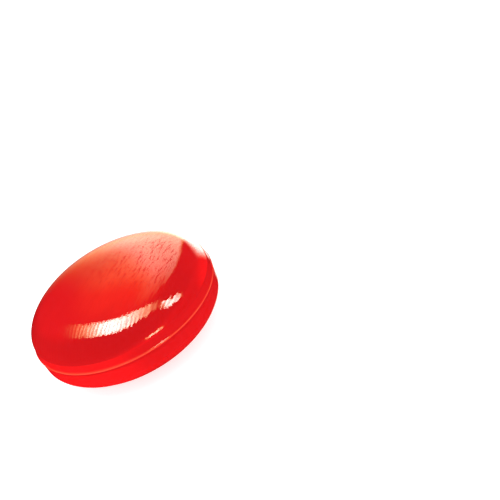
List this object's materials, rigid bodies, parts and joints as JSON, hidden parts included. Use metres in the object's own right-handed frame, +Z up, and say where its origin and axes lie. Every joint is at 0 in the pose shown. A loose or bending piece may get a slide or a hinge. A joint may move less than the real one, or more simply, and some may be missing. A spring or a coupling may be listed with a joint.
{
  "type": "hard candy",
  "caption": "Round lens-shaped boiled sweet with a domed crown and underside and a thin raised seam round its side.",
  "frame": {"origin": "centre of the small flat spot that the candy rests on, on its turned axis", "axes": "+Z up along the turned axis through the crown, +X and +Y level"},
  "size_m": [0.0254, 0.0254, 0.0111],
  "materials": {
    "red_sugar": "glossy translucent red boiled sugar with fine pull streaks"
  },
  "bodies": {
    "root": {"candy": "red_sugar"}
  },
  "joints": []
}
